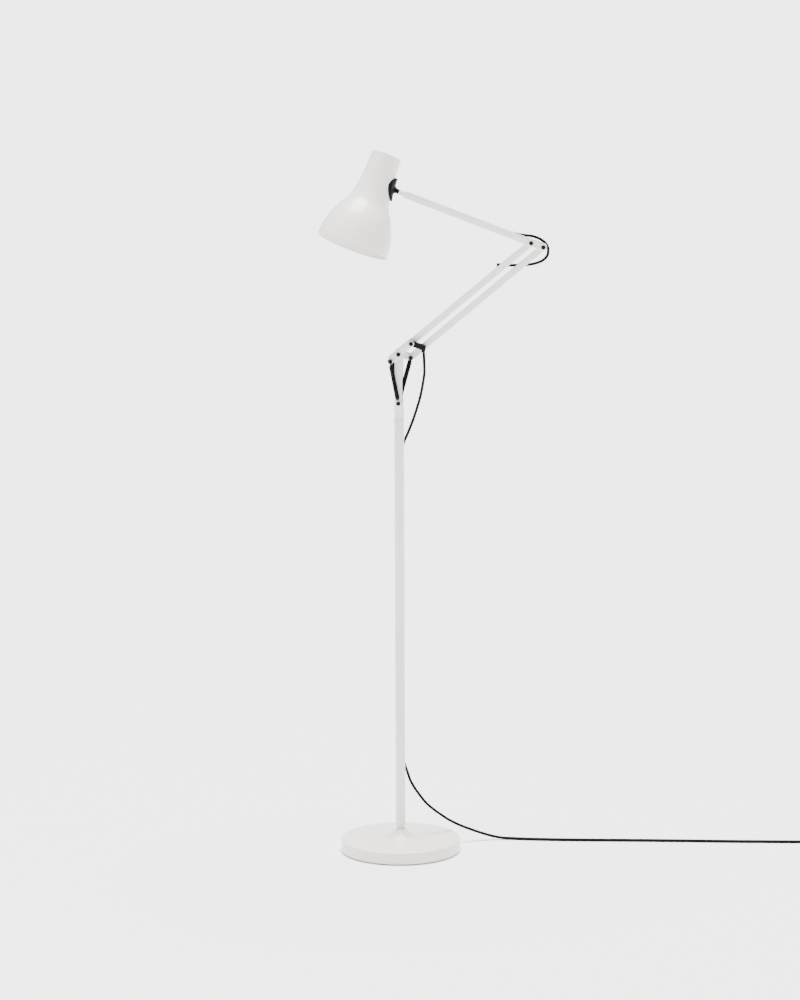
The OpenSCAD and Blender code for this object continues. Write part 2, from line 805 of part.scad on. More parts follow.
module knuckle_saddle() {
    boss_r = 6.4;
    cheek_r = tongue_r + 0.7;
    color(ink) in_head() difference() {
        union() {
            intersection() {
                lathe_x(saddle_r, saddle_r, neck_r / 2, tilt_x + over);
                shade_solid(saddle_t);
            }
            lathe_x(11, boss_r, tilt_x - tilt_out + 0.5, tilt_x - 0.6);
            intersection() {
                translate([tilt_x, 0, 0]) pin_y(cheek_r, -boss_r, boss_r);
                lathe_x(boss_r + 2, boss_r, tilt_x - cheek_r - over, tilt_x + cheek_r + over);
            }
        }
        shade_solid(0.02);
        translate([tilt_x - tongue_r - 0.4, -2.3, -15]) cube([20, 4.6, 30]);
        translate([tilt_x, 0, 0]) pin_y(1.5 + seat, -10, 10);
    }
}

module shade() {
    outer = [for (p = shares) shade_point(p, 0)];
    inner = [for (i = [len(shares) - 1:-1:0]) shade_point(shares[i], -shade_wall)];
    color(paint) in_head() {
        rotate_extrude($fn = 128) polygon(concat(outer, inner));
        translate([0, 0, head_up - shade_len]) rotate_extrude($fn = 128)
            translate([shade_r - shade_wall, 0]) circle(r = 1, $fn = 16);
    }
}

dome_h = 3;
button_r = 8;
collar_r = neck_r - shade_wall - 0.1;

module top_cap() {
    hole = button_r + gap;
    steps = 8;
    arc = [for (k = [0:steps]) let (t = k / steps) [neck_r - 0.2 - (neck_r - 0.2 - hole) * t,
        head_up + dome_h * (1 - pow(1 - t, 2) * 0.95)]];
    color(paint) in_head() rotate_extrude($fn = 96) polygon(concat([[collar_r - 1.2, head_up - 7],
        [collar_r, head_up - 7], [collar_r, head_up], [neck_r - 0.2, head_up]], arc,
        [[hole, head_up], [collar_r - 1.2, head_up]]));
}

button_travel = 2.5;

module push_button() {
    color(ink) in_head() {
        translate([0, 0, head_up - 1]) cylinder(r = button_r, h = dome_h + 0.8);
        translate([0, 0, head_up - 1.8]) cylinder(r = button_r + 2.5, h = 1.5);
        translate([0, 0, head_up - 8]) cylinder(r = 2, h = 8);
    }
}

holder_top = head_up - 7;
holder_len = 50;
socket_r = 13.6;

module lamp_holder() {
    color(ink) in_head() difference() {
        union() {
            translate([0, 0, holder_top - holder_len]) cylinder(r = holder_r, h = holder_len - 4);
            translate([0, 0, holder_top - 5]) cylinder(r = collar_r, h = 2.5);
            translate([0, 0, holder_top - 5]) difference() {
                cylinder(r = collar_r, h = 5);
                translate([0, 0, -over]) cylinder(r = collar_r - 4, h = 5 + 2 * over);
            }
        }
        translate([0, 0, holder_top - holder_len - over]) cylinder(r = socket_r, h = 29);
        translate([0, 0, holder_top - 16]) cylinder(r = 2.3, h = 20);
    }
}

module bulb_base() {
    color(brass) in_head() translate([0, 0, holder_top - holder_len - 2])
        cylinder(r = socket_r - 0.4, h = 30);
}

bulb_z = holder_top - holder_len - 2 - 14 - bulb_r;

module bulb_glass() {
    color(resin) in_head() {
        translate([0, 0, bulb_z]) sphere(r = bulb_r);
        translate([0, 0, bulb_z + bulb_r * 0.7])
            cylinder(r1 = bulb_r * 0.7, r2 = socket_r - 0.6, h = 14 + bulb_r * 0.3);
    }
}

base_pad();
base_weight();
base_cover();
pole_bolt();
pole_foot();
pole_lower();
pole_joiner();
pole_upper();
swivel_bush();
cable_boots();
cable_in_pole();
drop_cable_lower();
floor_lead();
lead_coil();
coil_tie();
plug_body();
plug_pins();
turret();
yoke();
yoke_screw();
anchor_bolt();
anchor_washers();
drop_cable_upper();
shoulder_bolt();
shoulder_spacers();
main_bar();
main_bar_ends();
shoulder_cheeks();
cheek_bolt();
tail_studs();
cable_clip();
cable_in_main_bar();
elbow_cable_lower();
bar_grommet();
lever_plates();
lever_bolt();
control_bar();
control_bar_ends();
elbow_bolt();
upper_arm_tube();
elbow_cheeks();
linkage_bolt();
arm_ferrule();
grub_screw();
arm_grommet();
elbow_cable_upper();
cable_in_upper_arm();
left_springs();
left_spring_hooks();
right_springs();
right_spring_hooks();
knuckle_stem();
tilt_pin();
knuckle_saddle();
shade();
top_cap();
push_button();
lamp_holder();
bulb_glass();
bulb_base();
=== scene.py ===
import json
import math

import bmesh
import bpy
from mathutils import Matrix, Vector


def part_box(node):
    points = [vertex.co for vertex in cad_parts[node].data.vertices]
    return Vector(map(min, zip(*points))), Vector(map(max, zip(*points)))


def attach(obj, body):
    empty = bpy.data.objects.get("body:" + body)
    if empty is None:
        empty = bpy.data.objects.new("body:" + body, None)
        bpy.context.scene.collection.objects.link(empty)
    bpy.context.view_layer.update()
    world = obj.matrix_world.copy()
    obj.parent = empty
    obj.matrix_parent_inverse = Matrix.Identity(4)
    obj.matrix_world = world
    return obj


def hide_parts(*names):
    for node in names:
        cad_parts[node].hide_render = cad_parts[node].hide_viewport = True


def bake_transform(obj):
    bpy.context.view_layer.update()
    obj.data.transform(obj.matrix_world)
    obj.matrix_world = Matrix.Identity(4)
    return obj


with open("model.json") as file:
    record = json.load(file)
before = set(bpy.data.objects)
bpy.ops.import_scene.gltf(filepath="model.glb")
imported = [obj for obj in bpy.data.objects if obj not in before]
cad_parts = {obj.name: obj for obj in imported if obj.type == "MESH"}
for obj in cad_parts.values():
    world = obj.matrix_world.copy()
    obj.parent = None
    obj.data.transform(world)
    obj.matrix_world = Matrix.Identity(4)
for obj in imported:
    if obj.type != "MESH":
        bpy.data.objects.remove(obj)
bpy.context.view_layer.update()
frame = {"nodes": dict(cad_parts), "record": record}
joints = {j["name"]: j for j in frame["record"]["behaviour"]["joints"]}
MM = 0.001


def joint_at(name):
    return Vector(joints[name]["pos_m"])


def middle(node):
    low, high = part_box(node)
    return (Vector(low) + Vector(high)) / 2


SHOULDER = joint_at("lower_arm_swing")
ELBOW = joint_at("upper_arm_swing")
LEVER_END = joint_at("second_bar_swing")
ANCHOR = joint_at("left_spring_swing")
TILT = joint_at("head_tilt")
SEAM_Z = joint_at("swivel").z
TAIL = middle("tail_studs")
CHEEK_END = middle("cheek_bolt")
LINKAGE = ELBOW + LEVER_END - SHOULDER
UP = -Vector(joints["button_press"]["axis"])
ARM_WAY = Vector(joints["head_roll"]["axis"])

# ---------------------------------------------------------------- materials


def new_group(name, inputs, outputs):
    group = bpy.data.node_groups.new(name, "ShaderNodeTree")
    for label, kind, value in inputs:
        socket = group.interface.new_socket(label, in_out="INPUT", socket_type=kind)
        if value is not None:
            socket.default_value = value
    for label, kind in outputs:
        group.interface.new_socket(label, in_out="OUTPUT", socket_type=kind)
    start = group.nodes.new("NodeGroupInput")
    end = group.nodes.new("NodeGroupOutput")
    return group, start, end


def surface_group():
    """Slow colour drift, fine grain and a bump height, all on object coordinates."""
    group, start, end = new_group(
        "surface_grain",
        [
            ("Vector", "NodeSocketVector", None),
            ("Color", "NodeSocketColor", (0.8, 0.8, 0.8, 1)),
            ("Drift Color", "NodeSocketColor", (0.7, 0.7, 0.7, 1)),
            ("Drift Scale", "NodeSocketFloat", 18.0),
            ("Grain Scale", "NodeSocketFloat", 900.0),
            ("Rough Low", "NodeSocketFloat", 0.3),
            ("Rough High", "NodeSocketFloat", 0.4),
        ],
        [("Color", "NodeSocketColor"), ("Roughness", "NodeSocketFloat"), ("Height", "NodeSocketFloat")],
    )
    nodes, links = group.nodes, group.links
    drift = nodes.new("ShaderNodeTexNoise")
    drift.inputs["Detail"].default_value = 3
    grain = nodes.new("ShaderNodeTexNoise")
    grain.inputs["Detail"].default_value = 2
    ramp = nodes.new("ShaderNodeMapRange")
    ramp.inputs["From Min"].default_value = 0.35
    ramp.inputs["From Max"].default_value = 0.65
    mix = nodes.new("ShaderNodeMix")
    mix.data_type = "RGBA"
    rough = nodes.new("ShaderNodeMapRange")
    rough.inputs["From Min"].default_value = 0.3
    rough.inputs["From Max"].default_value = 0.7
    links.new(start.outputs["Vector"], drift.inputs["Vector"])
    links.new(start.outputs["Vector"], grain.inputs["Vector"])
    links.new(start.outputs["Drift Scale"], drift.inputs["Scale"])
    links.new(start.outputs["Grain Scale"], grain.inputs["Scale"])
    links.new(drift.outputs["Fac"], ramp.inputs["Value"])
    links.new(ramp.outputs["Result"], mix.inputs["Factor"])
    links.new(start.outputs["Color"], mix.inputs["A"])
    links.new(start.outputs["Drift Color"], mix.inputs["B"])
    links.new(drift.outputs["Fac"], rough.inputs["Value"])
    links.new(start.outputs["Rough Low"], rough.inputs["To Min"])
    links.new(start.outputs["Rough High"], rough.inputs["To Max"])
    links.new(mix.outputs["Result"], end.inputs["Color"])
    links.new(rough.outputs["Result"], end.inputs["Roughness"])
    links.new(grain.outputs["Fac"], end.inputs["Height"])
    return group


GRAIN = surface_group()


def finish_material(name, color, drift, rough, grain_scale, bump, drift_scale=18.0, metallic=0.0, **plain):
    """A finish made of the shared grain group and one shader; plain holds the shader's own constants."""
    mat = bpy.data.materials.new(name)
    mat.use_nodes = True
    nodes, links = mat.node_tree.nodes, mat.node_tree.links
    shader = nodes["Principled BSDF"]
    place = nodes.new("ShaderNodeTexCoord")
    grain = nodes.new("ShaderNodeGroup")
    grain.node_tree = GRAIN
    grain.inputs["Color"].default_value = (*color, 1)
    grain.inputs["Drift Color"].default_value = (*drift, 1)
    grain.inputs["Drift Scale"].default_value = drift_scale
    grain.inputs["Grain Scale"].default_value = grain_scale
    grain.inputs["Rough Low"].default_value = rough[0]
    grain.inputs["Rough High"].default_value = rough[1]
    height = nodes.new("ShaderNodeBump")
    height.inputs["Strength"].default_value = bump
    height.inputs["Distance"].default_value = 0.0002
    links.new(place.outputs["Object"], grain.inputs["Vector"])
    links.new(grain.outputs["Color"], shader.inputs["Base Color"])
    links.new(grain.outputs["Roughness"], shader.inputs["Roughness"])
    links.new(grain.outputs["Height"], height.inputs["Height"])
    links.new(height.outputs["Normal"], shader.inputs["Normal"])
    shader.inputs["Metallic"].default_value = metallic
    for socket, value in plain.items():
        shader.inputs[socket.replace("_", " ")].default_value = value
    return mat


WHITE_PAINT = finish_material(
    "warm_white_paint", (0.86, 0.825, 0.785), (0.83, 0.795, 0.75), (0.30, 0.38), 700, 0.10,
    Coat_Weight=0.25, Coat_Roughness=0.18)
BLACK_PLASTIC = finish_material(
    "black_moulded_plastic", (0.0022, 0.0022, 0.0024), (0.0034, 0.0034, 0.0036), (0.46, 0.58), 1500, 0.15,
    Specular_IOR_Level=0.09)
BLACK_BOLT = finish_material(
    "black_plated_steel", (0.0022, 0.0022, 0.0024), (0.0036, 0.0036, 0.004), (0.34, 0.46), 1200, 0.10,
    Specular_IOR_Level=0.10)
BLACK_SPRING = finish_material(
    "black_spring_wire", (0.0018, 0.0018, 0.002), (0.003, 0.003, 0.0032), (0.42, 0.54), 2000, 0.10,
    Specular_IOR_Level=0.08)
CABLE_SHEATH = finish_material(
    "black_cable_sheath", (0.0018, 0.0018, 0.002), (0.003, 0.003, 0.0032), (0.42, 0.52), 900, 0.10,
    Specular_IOR_Level=0.08)
SOFT_RUBBER = finish_material(
    "soft_black_rubber", (0.003, 0.003, 0.003), (0.0045, 0.0044, 0.0043), (0.62, 0.75), 1800, 0.25,
    Specular_IOR_Level=0.1)
PAD_RUBBER = finish_material(
    "grey_pad_rubber", (0.045, 0.045, 0.045), (0.06, 0.06, 0.058), (0.75, 0.88), 1200, 0.45)
CAST_IRON = finish_material(
    "cast_iron", (0.10, 0.10, 0.10), (0.16, 0.15, 0.14), (0.6, 0.8), 500, 0.6, metallic=0.7)
BRIGHT_STEEL = finish_material(
    "plated_steel", (0.55, 0.55, 0.56), (0.48, 0.48, 0.49), (0.22, 0.34), 1500, 0.10, metallic=1.0)
NICKEL_BRASS = finish_material(
    "nickel_plated_brass", (0.62, 0.57, 0.47), (0.58, 0.52, 0.42), (0.18, 0.28), 1500, 0.08, metallic=1.0)
PALE_NYLON = finish_material(
    "pale_nylon", (0.72, 0.71, 0.68), (0.66, 0.65, 0.61), (0.42, 0.52), 1300, 0.15)
OPAL_GLASS = finish_material(
    "opal_bulb_glass", (0.86, 0.85, 0.82), (0.84, 0.83, 0.80), (0.16, 0.22), 400, 0.03,
    Transmission_Weight=0.0, Subsurface_Weight=0.15)

# ---------------------------------------------------------------- workshop helpers


def nothing_selected():
    if bpy.context.object and bpy.context.object.mode != "OBJECT":
        bpy.ops.object.mode_set(mode="OBJECT")
    bpy.ops.object.select_all(action="DESELECT")


def only(obj):
    nothing_selected()
    obj.select_set(True)
    bpy.context.view_layer.objects.active = obj


def edges_on():
    bpy.ops.object.mode_set(mode="EDIT")
    bpy.ops.mesh.select_mode(type="EDGE")
    bpy.ops.mesh.select_all(action="DESELECT")


def pick_edges(obj, test):
    mesh = bmesh.from_edit_mesh(obj.data)
    for edge in mesh.edges:
        edge.select_set(bool(test(edge)))
    mesh.select_flush_mode()
    bmesh.update_edit_mesh(obj.data)


def pick_faces(obj, test):
    mesh = bmesh.from_edit_mesh(obj.data)
    for face in mesh.faces:
        face.select_set(bool(test(face)))
    mesh.select_flush_mode()
    bmesh.update_edit_mesh(obj.data)


def basis(x, y, z, origin):
    """The matrix that carries a piece made at the origin to its place."""
    m = Matrix.Identity(4)
    for column, way in enumerate((x, y, z)):
        for row in range(3):
            m[row][column] = way[row]
    m.translation = origin
    return m


def on_axis(origin, way):
    """A place whose Z runs along a way, for turned pieces."""
    z = Vector(way).normalized()
    x = z.orthogonal().normalized()
    return basis(x, z.cross(x), z, Vector(origin))


def in_plane(p, q):
    """A place whose X runs from p to q in the plane of the arm, with Y to the rear."""
    x = (q - p).normalized()
    y = Vector((0, 1, 0))
    return basis(x, y, x.cross(y), p)


def settle(obj, name, body, material, slot, nodes=(), place=None, smooth=32):
    """Names a finished piece, puts it in its place, ties it to the body it moves with and hides the cut
    pieces it stands for.
    """
    only(obj)
    if place is not None:
        obj.matrix_world = place @ obj.matrix_world
    bpy.ops.object.transform_apply(location=True, rotation=True, scale=True)
    bpy.ops.object.shade_smooth_by_angle(angle=math.radians(smooth))
    obj.name = name
    obj.data.name = name
    obj.data.materials.clear()
    obj.data.materials.append(material)
    if body:
        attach(obj, body)
    if nodes:
        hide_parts(*nodes)
    return obj


def turned(profile, steps=64):
    """Turns a closed outline of (radius, height) points round Z, ring by ring, as on a lathe."""
    nothing_selected()
    small = 1e-5
    r, z = max(profile[0][0], small), profile[0][1]
    bpy.ops.mesh.primitive_circle_add(vertices=steps, radius=r, location=(0, 0, z), fill_type="NOTHING")
    work = bpy.context.object
    bpy.ops.object.mode_set(mode="EDIT")
    bpy.ops.mesh.select_mode(type="EDGE")
    bpy.ops.mesh.select_all(action="SELECT")
    for next_r, next_z in profile[1:]:
        next_r = max(next_r, small)
        bpy.ops.mesh.extrude_edges_move(TRANSFORM_OT_translate={"value": (0, 0, next_z - z)})
        k = next_r / r
        bpy.ops.transform.resize(value=(k, k, 1), center_override=(0, 0, next_z))
        r, z = next_r, next_z
    bpy.ops.mesh.select_all(action="SELECT")
    bpy.ops.mesh.remove_doubles(threshold=2.5e-5)
    bpy.ops.mesh.select_all(action="SELECT")
    bpy.ops.mesh.normals_make_consistent(inside=False)
    bpy.ops.object.mode_set(mode="OBJECT")
    return work


def rounded(points, r, steps=4):
    """An outline with every corner eased by up to r; the first and last points stay sharp."""
    out = [points[0]]
    for before, here, after in zip(points, points[1:], points[2:]):
        a, b, c = Vector(before), Vector(here), Vector(after)
        e = min(r, (a - b).length * 0.45, (c - b).length * 0.45)
        if e < 2e-5:
            out.append(here)
            continue
        p, q = b + (a - b).normalized() * e, b + (c - b).normalized() * e
        for k in range(steps + 1):
            t = k / steps
            v = p.lerp(b, t).lerp(b.lerp(q, t), t)
            out.append((v.x, v.y))
    out.append(points[-1])
    return out


def smooth_path(points, steps):
    """A Catmull-Rom line through given points."""
    p = [Vector(v) for v in points]
    out = []
    for i in range(len(p) - 1):
        a, b, c, d = p[max(i - 1, 0)], p[i], p[i + 1], p[min(i + 2, len(p) - 1)]
        for k in range(steps):
            t = k / steps
            out.append(0.5 * (2 * b + (c - a) * t + (2 * a - 5 * b + 4 * c - d) * t * t
                              + (3 * b - a - 3 * c + d) * t ** 3))
    out.append(p[-1])
    return out


def curve_along(path, radius, sides=4):
    nothing_selected()
    data = bpy.data.curves.new("run", "CURVE")
    data.dimensions = "3D"
    data.fill_mode = "FULL"
    data.bevel_depth = radius
    data.bevel_resolution = sides
    data.use_fill_caps = True
    line = data.splines.new("POLY")
    line.points.add(len(path) - 1)
    for point, at in zip(line.points, path):
        point.co = (*at, 1)
    obj = bpy.data.objects.new("run", data)
    bpy.context.collection.objects.link(obj)
    return obj


def tube_along(path, radius, sides=4):
    obj = curve_along(path, radius, sides)
    only(obj)
    bpy.ops.object.convert(target="MESH")
    return bpy.context.object


def eased(node, edge, name, body, material, slot, segments=2, angle=35):
    """A copy of a cut piece with its sharp edges broken."""
    only(frame["nodes"][node])
    bpy.ops.object.duplicate()
    work = bpy.context.object
    bpy.ops.object.mode_set(mode="EDIT")
    bpy.ops.mesh.select_all(action="SELECT")
    bpy.ops.mesh.remove_doubles(threshold=1e-6)
    bpy.ops.mesh.dissolve_limited(angle_limit=math.radians(1.5))
    bpy.ops.object.mode_set(mode="OBJECT")
    bpy.ops.object.modifier_add(type="BEVEL")
    bevel = work.modifiers[-1]
    bevel.width = edge
    bevel.segments = segments
    bevel.limit_method = "ANGLE"
    bevel.angle_limit = math.radians(angle)
    bpy.ops.object.modifier_apply(modifier=bevel.name)
    for key in [k for k in work.keys() if k.startswith("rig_")]:
        del work[key]
    return settle(work, name, body, material, slot, [node])

# ---------------------------------------------------------------- camera, light, floor

CAMERA_AT = Vector((0.52336, -9.98630, 2.75))
CAMERA_PITCH = 11.5421
CAMERA_BEARING = 2.9930
CAMERA_ROLL = -0.22
CAMERA_LENS = 234.75
FLOOR_DROP = 0.0004
SUN_POWER, SUN_SPREAD, SUN_LEAN = 13, 40, -8
AIR_STRENGTH = 0.55


def set_camera():
    bearing, pitch, roll = (math.radians(v) for v in (CAMERA_BEARING, CAMERA_PITCH, CAMERA_ROLL))
    level = Vector((-math.sin(bearing), math.cos(bearing), 0))
    ahead = level * math.cos(pitch) - Vector((0, 0, math.sin(pitch)))
    right = ahead.cross(Vector((0, 0, 1))).normalized()
    up = right.cross(ahead)
    right, up = right * math.cos(roll) + up * math.sin(roll), up * math.cos(roll) - right * math.sin(roll)
    nothing_selected()
    bpy.ops.object.camera_add()
    camera = bpy.context.object
    camera.name = "view"
    camera.data.sensor_fit = "HORIZONTAL"
    camera.data.sensor_width = 36
    camera.data.lens = CAMERA_LENS
    camera.data.clip_end = 60
    camera.matrix_world = basis(right, up, -ahead, CAMERA_AT)
    bpy.context.scene.camera = camera


def set_light(name, at, aim, size, power):
    bpy.ops.object.light_add(type="AREA", location=at)
    lamp = bpy.context.object
    lamp.name = name
    lamp.data.shape = "RECTANGLE"
    lamp.data.size, lamp.data.size_y = size
    lamp.data.energy = power
    way = Vector(aim) - Vector(at)
    lamp.rotation_euler = way.to_track_quat("-Z", "Y").to_euler()


def set_studio():
    nothing_selected()
    bpy.ops.mesh.primitive_plane_add(size=1, location=(0, 0, -FLOOR_DROP))
    floor = bpy.context.object
    floor.scale = (60, 60, 1)
    bpy.ops.object.transform_apply(location=True, rotation=True, scale=True)
    floor.name = "studio_floor"
    sheet = bpy.data.materials.new("pale_floor")
    sheet.use_nodes = True
    shader = sheet.node_tree.nodes["Principled BSDF"]
    shader.inputs["Base Color"].default_value = (0.93, 0.93, 0.93, 1)
    shader.inputs["Roughness"].default_value = 0.9
    floor.data.materials.append(sheet)
    world = bpy.data.worlds.new("studio_air")
    world.use_nodes = True
    world.node_tree.nodes["Background"].inputs["Color"].default_value = (1, 1, 1, 1)
    world.node_tree.nodes["Background"].inputs["Strength"].default_value = AIR_STRENGTH
    bpy.context.scene.world = world
    bpy.ops.object.light_add(type="SUN", location=(0, 0, 6))
    overhead = bpy.context.object
    overhead.name = "overhead"
    overhead.data.energy = SUN_POWER
    overhead.data.angle = math.radians(SUN_SPREAD)
    overhead.rotation_euler = (math.radians(SUN_LEAN), 0, 0)
    set_light("key", (-2.6, -3.2, 3.4), (0, 0, 0.9), (2.4, 2.4), 45)


set_camera()
set_studio()

# ---------------------------------------------------------------- cable

CABLE_R = 2.8 * MM
DROP_UPPER = [(49, -11, 1002.6), (49.5, -11, 995), (50, -10, 981), (50, -7, 961), (47, -2, 941),
              (43, 3.5, 920), (39, 8, 904), (36, 10.5, 894)]
DROP_LOWER = [(36, 10.5, 894), (33, 13, 884), (26, 18, 863), (18, 22, 842), (11, 22.6, 826),
              (7.2, 19.8, 817), (5.2, 16.1, 809.6)]
LEAD = [(5.2, 16.1, 182.2), (6.5, 19.4, 174), (8.8, 23.6, 164.5), (12.5, 27.6, 152), (17.5, 30, 136),
        (25.5, 32, 120), (35, 35, 105), (48, 39, 87), (63, 44, 72), (76, 49, 61), (91, 55, 49),
        (108, 62, 38), (127, 69, 28), (154, 78, 16), (176, 82, 8.5), (196, 84, 4), (218, 84, 2.9),
        (260, 80, 2.8), (318, 78, 2.8), (400, 78, 2.8), (480, 79, 2.8), (560, 79, 2.8),
        (643, 78, 2.8), (725, 79, 2.8), (792, 80, 2.8), (830, 80, 2.8), (856, 80, 2.8)]
LEAD_TAIL = [(884, 80, 9.2), (896, 80, 8.6), (910, 80, 7.3), (922, 80, 6.9)]
LOOP_UPPER = [(193, 10, 1241.5), (205, 12.5, 1239), (218, 13.5, 1235.5), (231, 13.5, 1232),
              (245, 13.5, 1230), (259, 13.5, 1228.5), (273, 13.5, 1223.5), (284, 13.5, 1215.5),
              (289.5, 13.5, 1206), (290, 13.5, 1199)]
LOOP_LOWER = [(290, 13.5, 1199), (288, 13.5, 1190), (280, 13.5, 1181.5), (268, 13.5, 1176),
              (255, 13.5, 1173), (242, 13.5, 1172), (229, 13, 1171.5), (217, 11.5, 1171.5),
              (205, 9.5, 1171.5)]
COIL_MIDDLE = (870, 43.4)
COIL_ROWS = (36.6, 31.0, 25.4, 31.0, 36.6)
COIL_LOW, COIL_HIGH = 3.6, 9.2
LEAD_Z = 2.8


def metres(points):
    return [Vector(p) * MM for p in points]


def eased_step(t):
    t = min(max(t, 0), 1)
    return t * t * (3 - 2 * t)


def coil_points():
    """Turns wound inwards on the floor, then outwards on top, each change of row in one place."""
    out = []
    per_turn = 40
    climb = 6
    last = len(COIL_ROWS) - 1
    for k in range(1, len(COIL_ROWS) * per_turn):
        turn, share = divmod(k / per_turn, 1)
        turn = int(turn)
        here = COIL_ROWS[turn]
        after = COIL_ROWS[min(turn + 1, last)]
        r = here + (after - here) * eased_step((share - 0.80) / 0.20)
        rise = eased_step((share - 0.50) / 0.28) if turn == 2 else (1 if turn > 2 else 0)
        z = COIL_LOW + (COIL_HIGH - COIL_LOW) * rise
        if k < climb:
            z = LEAD_Z + (COIL_LOW - LEAD_Z) * k / climb
        a = math.radians(90) - share * math.tau
        out.append((COIL_MIDDLE[0] + r * math.cos(a), COIL_MIDDLE[1] + r * math.sin(a), z))
    return metres(out)


def lay_lead():
    lead = smooth_path(metres(LEAD), 3)
    coil_end = (COIL_MIDDLE[0], COIL_MIDDLE[1] + COIL_ROWS[-1], COIL_HIGH)
    lead += coil_points() + smooth_path(metres([coil_end] + LEAD_TAIL), 2)
    floor_run = curve_along(lead, CABLE_R)
    floor_run.name = "floor_lead_run"
    floor_run.data.name = "floor_lead_run"
    floor_run.data.materials.append(CABLE_SHEATH)
    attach(floor_run, "stand")
    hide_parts("floor_lead", "lead_coil")


def lay_run(name, points, node):
    """A run across one joint, laid as a tube along the points."""
    path = smooth_path(metres(points), 4)
    run = tube_along(path, CABLE_R)
    settle(run, name, None, CABLE_SHEATH, "cable", [node], smooth=60)
    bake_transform(run)


eased("plug_body", 0.9 * MM, "plug_shell", "stand", BLACK_PLASTIC, "soft_black", 3)
eased("coil_tie", 0.25 * MM, "coil_tie_strap", "stand", SOFT_RUBBER, "soft_black")
eased("cable_boots", 0.3 * MM, "cable_boot_pair", "stand", SOFT_RUBBER, "soft_black", 2, 50)
lay_lead()
lay_run("drop_run_upper", DROP_UPPER, "drop_cable_upper")
lay_run("drop_run_lower", DROP_LOWER, "drop_cable_lower")
lay_run("elbow_run_upper", LOOP_UPPER, "elbow_cable_upper")
lay_run("elbow_run_lower", LOOP_LOWER, "elbow_cable_lower")

# ---------------------------------------------------------------- base and pole

POLE_R = 9.5 * MM
BORE_R = 7.9 * MM
FOOT_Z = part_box("pole_foot")[0][2]
JOINT_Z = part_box("pole_lower")[1][2]
SCREW_HOLE_R = 2.1 * MM
SCREW_HOLE_DEPTH = 12 * MM
SPIGOT_R = 5.5 * MM
SEAM_GAP = 0.5 * MM


def scaled(points):
    return [(r * MM, z * MM) for r, z in points]


def make_base():
    skirt = rounded([(115.6, 1.5), (117.5, 1.5), (117.5, 25), (60, 25)], 2.6, 6)[:-1]
    flare = smooth_path([(60, 25, 0), (44, 25.05, 0), (34, 25.5, 0), (28, 27, 0), (22.5, 30.6, 0),
                         (17, 35.6, 0), (12.4, 40.2, 0), (9.2, 43.6, 0), (7.3, 46.4, 0), (6.85, 48.4, 0),
                         (6.8, 50, 0)], 3)
    inner = [(4.3, 50), (4.3, 42), (11.5, 34.6), (24, 26), (28, 23.6), (113, 23.6), (116, 20.5), (116, 1.5)]
    cover = turned(scaled(skirt + [(v.x, v.y) for v in flare] + inner + [(116, 1.5), (115.6, 1.5)]), 160)
    settle(cover, "base_shell", "stand", WHITE_PAINT, "paint", ["base_cover"], smooth=40)
    pad = turned(scaled(rounded([(0, 0), (113.5, 0), (113.5, 1.5), (0, 1.5)], 0.4)), 120)
    settle(pad, "floor_pad", "stand", PAD_RUBBER, "pad", ["base_pad"])


def make_pole():
    for name, node, z0, z1 in (("lower_tube", "pole_lower", FOOT_Z, JOINT_Z),
                               ("upper_tube", "pole_upper", JOINT_Z, SEAM_Z)):
        outline = rounded([(BORE_R, z0), (POLE_R, z0), (POLE_R, z1), (BORE_R, z1)], 0.35 * MM, 3)
        settle(turned(outline + [(BORE_R, z0)], 72), name, "stand", WHITE_PAINT, "paint", [node])
    low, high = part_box("turret")
    base_z = SEAM_Z + SEAM_GAP
    outline = [(0, low[2]), (SPIGOT_R, low[2]), (SPIGOT_R, base_z)] + rounded(
        [(SPIGOT_R, base_z), (POLE_R, base_z), (POLE_R, high[2]), (SCREW_HOLE_R, high[2])], 0.5 * MM, 3)[1:]
    outline += [(SCREW_HOLE_R, high[2] - SCREW_HOLE_DEPTH), (0, high[2] - SCREW_HOLE_DEPTH)]
    settle(turned(outline, 72), "turret_post", "turret_body", WHITE_PAINT, "paint", ["turret"])


make_base()
make_pole()

# ---------------------------------------------------------------- arm

DARK = (BLACK_BOLT, "black_bolt")
BAR_W, BAR_D = 12 * MM, 9 * MM
BAR_GROOVE = (16 * MM, 1.2 * MM, 9 * MM)
ARM_W, ARM_D = 13 * MM, 10 * MM
ARM_FROM, ARM_TO = 36.5 * MM, 257.6 * MM
GRUB_AT = 260 * MM


